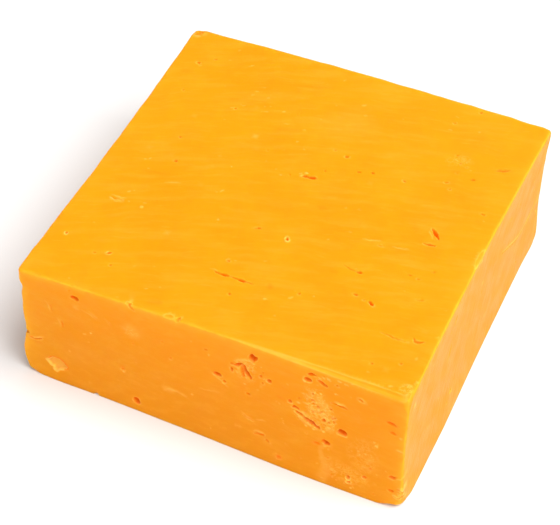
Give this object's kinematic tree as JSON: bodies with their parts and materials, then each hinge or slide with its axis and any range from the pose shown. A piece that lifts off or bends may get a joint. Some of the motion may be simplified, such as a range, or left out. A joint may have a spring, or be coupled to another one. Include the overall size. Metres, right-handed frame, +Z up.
{
  "type": "red leicester cheese block",
  "caption": "Square hand-cut block of orange hard cheese, with bowed edges, small pits and slits between the curds, edge chips and a flat underside.",
  "frame": {"origin": "middle of the flat underside, at the centre of the block's box in X and Y", "axes": "+Z up from the underside to the top face, front face towards -Y, +X to the right of someone looking at the front face"},
  "size_m": [0.1008, 0.0999, 0.0378],
  "materials": {
    "cheese": "smooth, slightly moist cut cheese with a soft waxy sheen"
  },
  "bodies": {
    "root": {"cheese_block": "cheese"}
  },
  "joints": []
}
